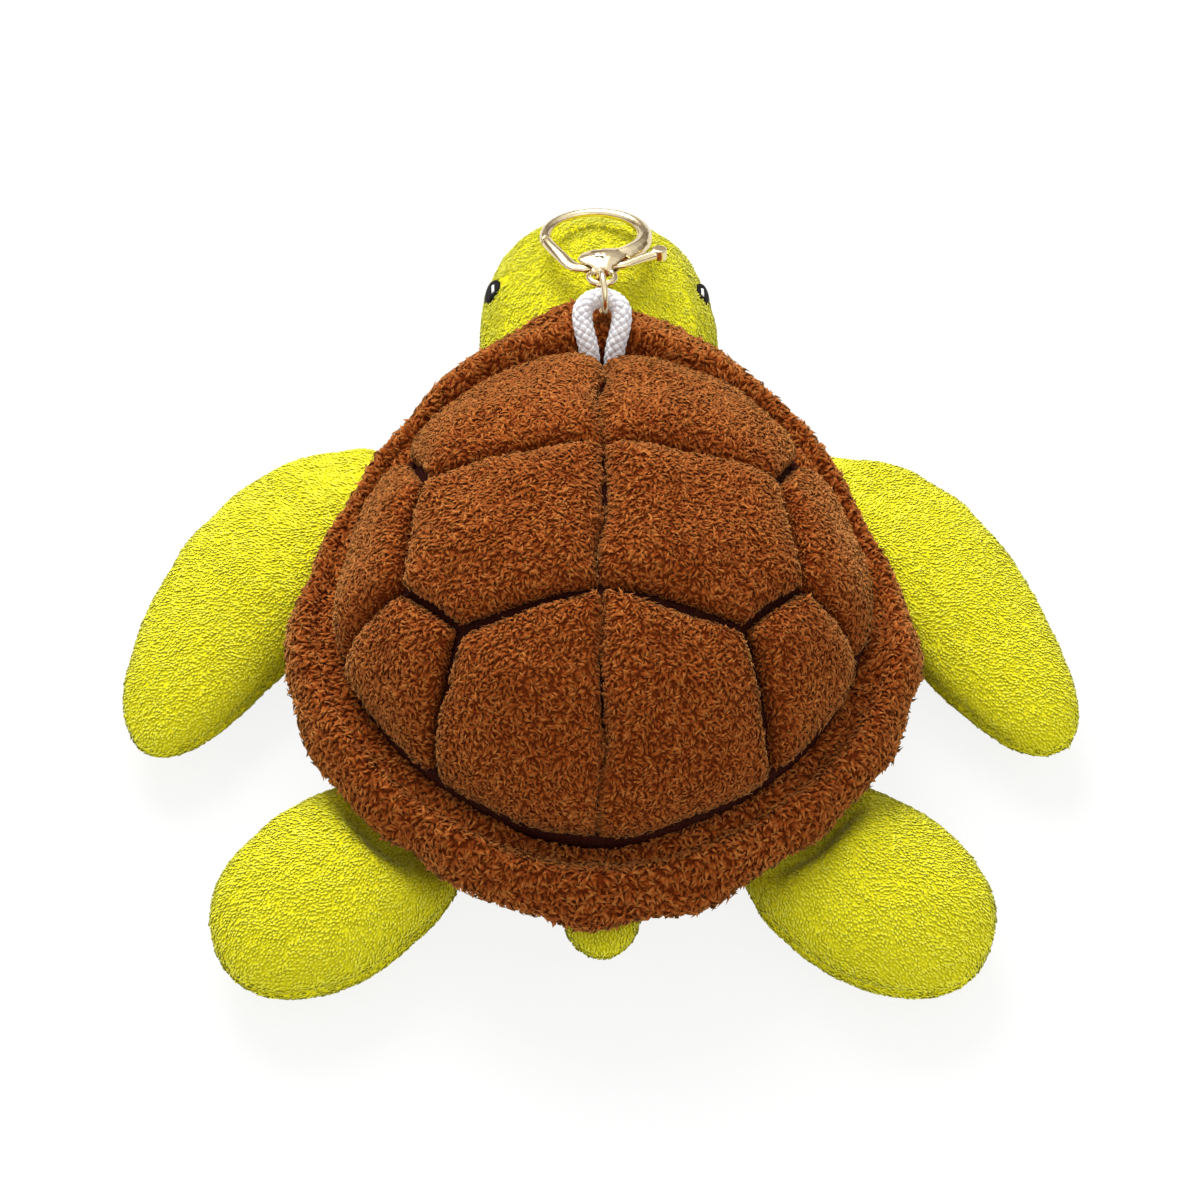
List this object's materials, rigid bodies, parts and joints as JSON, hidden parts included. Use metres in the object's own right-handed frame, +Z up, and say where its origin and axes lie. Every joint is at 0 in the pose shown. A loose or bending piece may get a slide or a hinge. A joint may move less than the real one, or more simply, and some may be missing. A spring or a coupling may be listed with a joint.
{
  "type": "plush turtle keychain",
  "caption": "Stuffed plush sea turtle with a quilted shell, soft brim, bendable head and flippers, and a trigger clasp on a cord loop behind the head.",
  "frame": {"origin": "under the middle of the flat belly, on the surface that the turtle rests on", "axes": "+Y towards the head, +Z up, +X towards the turtle's right side"},
  "size_m": [0.1626, 0.1647, 0.0522],
  "materials": {
    "brown_plush": "short dense pile, matte",
    "lime_plush": "short dense pile, matte",
    "fibre_filling": "loose polyester fibre",
    "white_cord": "braided cord, slight sheen",
    "black_embroidery": "satin stitch",
    "pale_gold_metal": "polished pale gold plating",
    "steel_wire": "bright wire"
  },
  "bodies": {
    "shell": {"scute_front_left": "brown_plush", "scute_front_right": "brown_plush", "scute_middle_left": "brown_plush", "scute_middle_right": "brown_plush", "scute_rear_left": "brown_plush", "scute_rear_right": "brown_plush", "scute_side_front_left": "brown_plush", "scute_side_front_right": "brown_plush", "scute_side_rear_left": "brown_plush", "scute_side_rear_right": "brown_plush", "shell_brim": "brown_plush", "belly": "lime_plush", "body_filling": "fibre_filling", "tail": "lime_plush"},
    "head": {"head": "lime_plush", "eye_left": "black_embroidery", "eye_right": "black_embroidery"},
    "flipper_front_left": {"flipper_front_left": "lime_plush"},
    "flipper_front_right": {"flipper_front_right": "lime_plush"},
    "flipper_rear_left": {"flipper_rear_left": "lime_plush"},
    "flipper_rear_right": {"flipper_rear_right": "lime_plush"},
    "cord": {"cord_loop": "white_cord"},
    "ring": {"jump_ring": "pale_gold_metal"},
    "clasp": {"clasp_body": "pale_gold_metal", "clasp_pin": "steel_wire", "clasp_spring": "steel_wire"},
    "lever": {"clasp_lever": "pale_gold_metal"}
  },
  "joints": [
    {"name": "head_nod", "type": "hinge", "parent": "shell", "child": "head", "pos_m": [0, 0.0373, 0.015], "axis": [1, 0, 0], "range_deg": [-12, 0], "stiffness_Nm_per_rad": 0.12},
    {"name": "front_left_flap", "type": "hinge", "parent": "shell", "child": "flipper_front_left", "pos_m": [-0.028, 0.03, 0.0096], "axis": [0.1736, 0.9848, 0], "range_deg": [-22, 10], "stiffness_Nm_per_rad": 0.06},
    {"name": "front_right_flap", "type": "hinge", "parent": "shell", "child": "flipper_front_right", "pos_m": [0.028, 0.03, 0.0096], "axis": [0.1736, -0.9848, 0], "range_deg": [-22, 10], "stiffness_Nm_per_rad": 0.06},
    {"name": "rear_left_flap", "type": "hinge", "parent": "shell", "child": "flipper_rear_left", "pos_m": [-0.026, -0.021, 0.0092], "axis": [-0.829, 0.5592, 0], "range_deg": [-22, 10], "stiffness_Nm_per_rad": 0.06},
    {"name": "rear_right_flap", "type": "hinge", "parent": "shell", "child": "flipper_rear_right", "pos_m": [0.026, -0.021, 0.0092], "axis": [-0.829, -0.5592, 0], "range_deg": [-22, 10], "stiffness_Nm_per_rad": 0.06},
    {"name": "cord_swing", "type": "hinge", "parent": "shell", "child": "cord", "pos_m": [0, 0.05, 0.0275], "axis": [1, 0, 0], "range_deg": [0, 35]},
    {"name": "ring_swing", "type": "hinge", "parent": "cord", "child": "ring", "pos_m": [0, 0.0599, 0.0365], "axis": [1, 0, 0], "range_deg": [0, 45]},
    {"name": "clasp_swing", "type": "hinge", "parent": "ring", "child": "clasp", "pos_m": [0, 0.06333, 0.0365], "axis": [1, 0, 0], "range_deg": [0, 55]},
    {"name": "lever_pull", "type": "hinge", "parent": "clasp", "child": "lever", "pos_m": [-0.0004, 0.0701, 0.03436], "axis": [0, -0.3007, -0.9537], "range_deg": [0, 22], "stiffness_Nm_per_rad": 0.02}
  ]
}
